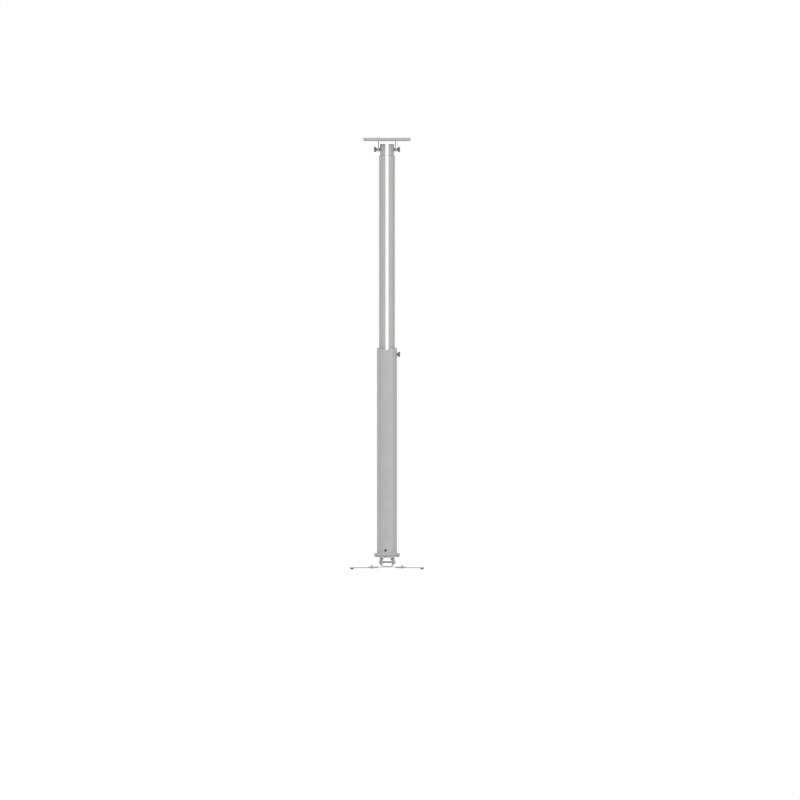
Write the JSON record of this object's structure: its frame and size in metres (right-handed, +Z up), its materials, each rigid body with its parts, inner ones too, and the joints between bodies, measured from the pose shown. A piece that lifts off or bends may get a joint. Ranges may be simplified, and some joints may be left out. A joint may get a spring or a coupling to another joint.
{
  "type": "projector ceiling mount",
  "caption": "Telescopic ceiling mount for a projector: plate, keyed twin-rail column in a locking tube, and a swivel and tilt head with adjustable spider arms.",
  "frame": {"origin": "centre of the ceiling face of the plate, on the column's axis", "axes": "+Z up into the ceiling along the column, -Y towards the front, +X towards the lock knob"},
  "size_m": [0.34, 0.29, 1.97],
  "materials": {
    "coated_aluminium": "light grey satin powder coat on aluminium",
    "coated_steel": "light grey satin powder coat on steel sheet",
    "knob_plastic": "moulded dark grey, fine texture",
    "collar_plastic": "moulded light grey, satin",
    "stop_plastic": "moulded black, satin",
    "nylon": "natural nylon, satin",
    "foot_plastic": "moulded black, matt",
    "black_screws": "black oxide",
    "brass_insert": "turned",
    "zinc_steel": "bright zinc plate"
  },
  "bodies": {
    "root": {"ceiling_plate": "coated_aluminium", "ceiling_socket": "coated_aluminium", "socket_screws": "zinc_steel", "inner_rail_left": "coated_aluminium", "inner_rail_right": "coated_aluminium", "end_stop": "stop_plastic", "end_stop_screws": "zinc_steel"},
    "column": {"outer_tube": "coated_aluminium", "top_collar": "collar_plastic", "lock_insert": "brass_insert", "end_hub": "coated_aluminium", "hub_screws": "black_screws", "swivel_washer": "nylon"},
    "lock_pad": {"lock_pad": "nylon"},
    "lock_knob": {"lock_knob": "knob_plastic", "lock_stud": "zinc_steel"},
    "swivel": {"swivel_yoke": "coated_aluminium", "pivot_sleeve": "zinc_steel", "pivot_washer": "nylon", "ring_nut": "zinc_steel", "tilt_bolt": "zinc_steel", "tilt_washers": "zinc_steel", "tilt_nut": "zinc_steel"},
    "tilt": {"tilt_bracket": "coated_steel", "spider_plate": "coated_steel", "bracket_screws": "zinc_steel", "tilt_lock_bolt_left": "zinc_steel", "tilt_lock_bolt_right": "zinc_steel", "tilt_lock_nut_left": "zinc_steel", "tilt_lock_nut_right": "zinc_steel"},
    "socket_washer_left": {"socket_washer_left": "nylon"},
    "socket_knob_left": {"socket_knob_left": "knob_plastic", "socket_stud_left": "zinc_steel"},
    "socket_washer_right": {"socket_washer_right": "nylon"},
    "socket_knob_right": {"socket_knob_right": "knob_plastic", "socket_stud_right": "zinc_steel"},
    "arm_clamp_back_right": {"arm_bolt_back_right": "zinc_steel", "arm_nut_back_right": "zinc_steel"},
    "arm_back_right": {"spider_arm_back_right": "coated_steel", "arm_foot_back_right": "foot_plastic"},
    "arm_clamp_back_left": {"arm_bolt_back_left": "zinc_steel", "arm_nut_back_left": "zinc_steel"},
    "arm_back_left": {"spider_arm_back_left": "coated_steel", "arm_foot_back_left": "foot_plastic"},
    "arm_clamp_front_left": {"arm_bolt_front_left": "zinc_steel", "arm_nut_front_left": "zinc_steel"},
    "arm_front_left": {"spider_arm_front_left": "coated_steel", "arm_foot_front_left": "foot_plastic"},
    "arm_clamp_front_right": {"arm_bolt_front_right": "zinc_steel", "arm_nut_front_right": "zinc_steel"},
    "arm_front_right": {"spider_arm_front_right": "coated_steel", "arm_foot_front_right": "foot_plastic"}
  },
  "joints": [
    {"name": "height_slide", "type": "slide", "parent": "root", "child": "column", "axis": [0, 0, 1], "range_m": [0, 0.87]},
    {"name": "lock_pad_slide", "type": "slide", "parent": "column", "child": "lock_pad", "axis": [1, 0, 0], "range_m": [0, 0.0026]},
    {"name": "lock_knob_turn", "type": "hinge", "parent": "lock_pad", "child": "lock_knob", "pos_m": [0.046, 0, -0.9891], "axis": [1, 0, 0], "range_deg": [0, 720]},
    {"name": "swivel_turn", "type": "hinge", "parent": "column", "child": "swivel", "pos_m": [0, 0, -1.9073], "axis": [0, 0, 1], "continuous": true},
    {"name": "tilt_lean", "type": "hinge", "parent": "swivel", "child": "tilt", "pos_m": [0, 0, -1.9378], "axis": [1, 0, 0], "range_deg": [-15, 15]},
    {"name": "socket_washer_left_slide", "type": "slide", "parent": "root", "child": "socket_washer_left", "axis": [-1, 0, 0], "range_m": [0, 0.0038]},
    {"name": "socket_knob_left_turn", "type": "hinge", "parent": "socket_washer_left", "child": "socket_knob_left", "pos_m": [-0.0457, 0, -0.0526], "axis": [-1, 0, 0], "range_deg": [0, 1080]},
    {"name": "socket_washer_right_slide", "type": "slide", "parent": "root", "child": "socket_washer_right", "axis": [1, 0, 0], "range_m": [0, 0.0038]},
    {"name": "socket_knob_right_turn", "type": "hinge", "parent": "socket_washer_right", "child": "socket_knob_right", "pos_m": [0.0457, 0, -0.0526], "axis": [1, 0, 0], "range_deg": [0, 1080]},
    {"name": "arm_swing_back_right", "type": "hinge", "parent": "tilt", "child": "arm_clamp_back_right", "pos_m": [0.07, 0.056, -1.963], "axis": [0, 0, 1], "range_deg": [-20, 20]},
    {"name": "arm_reach_back_right", "type": "slide", "parent": "arm_clamp_back_right", "child": "arm_back_right", "axis": [0.7515, 0.6597, 0], "range_m": [-0.022, 0.024]},
    {"name": "arm_swing_back_left", "type": "hinge", "parent": "tilt", "child": "arm_clamp_back_left", "pos_m": [-0.07, 0.056, -1.963], "axis": [0, 0, 1], "range_deg": [-20, 20]},
    {"name": "arm_reach_back_left", "type": "slide", "parent": "arm_clamp_back_left", "child": "arm_back_left", "axis": [-0.7515, 0.6597, 0], "range_m": [-0.022, 0.024]},
    {"name": "arm_swing_front_left", "type": "hinge", "parent": "tilt", "child": "arm_clamp_front_left", "pos_m": [-0.07, -0.056, -1.963], "axis": [0, 0, 1], "range_deg": [-20, 20]},
    {"name": "arm_reach_front_left", "type": "slide", "parent": "arm_clamp_front_left", "child": "arm_front_left", "axis": [-0.7515, -0.6597, 0], "range_m": [-0.022, 0.024]},
    {"name": "arm_swing_front_right", "type": "hinge", "parent": "tilt", "child": "arm_clamp_front_right", "pos_m": [0.07, -0.056, -1.963], "axis": [0, 0, 1], "range_deg": [-20, 20]},
    {"name": "arm_reach_front_right", "type": "slide", "parent": "arm_clamp_front_right", "child": "arm_front_right", "axis": [0.7515, -0.6597, 0], "range_m": [-0.022, 0.024]}
  ],
  "couplings": [
    {"joint": "lock_pad_slide", "follows": "lock_knob_turn", "m_per_rad": 0.00019894},
    {"joint": "socket_washer_left_slide", "follows": "socket_knob_left_turn", "m_per_rad": 0.00019894},
    {"joint": "socket_washer_right_slide", "follows": "socket_knob_right_turn", "m_per_rad": 0.00019894}
  ]
}
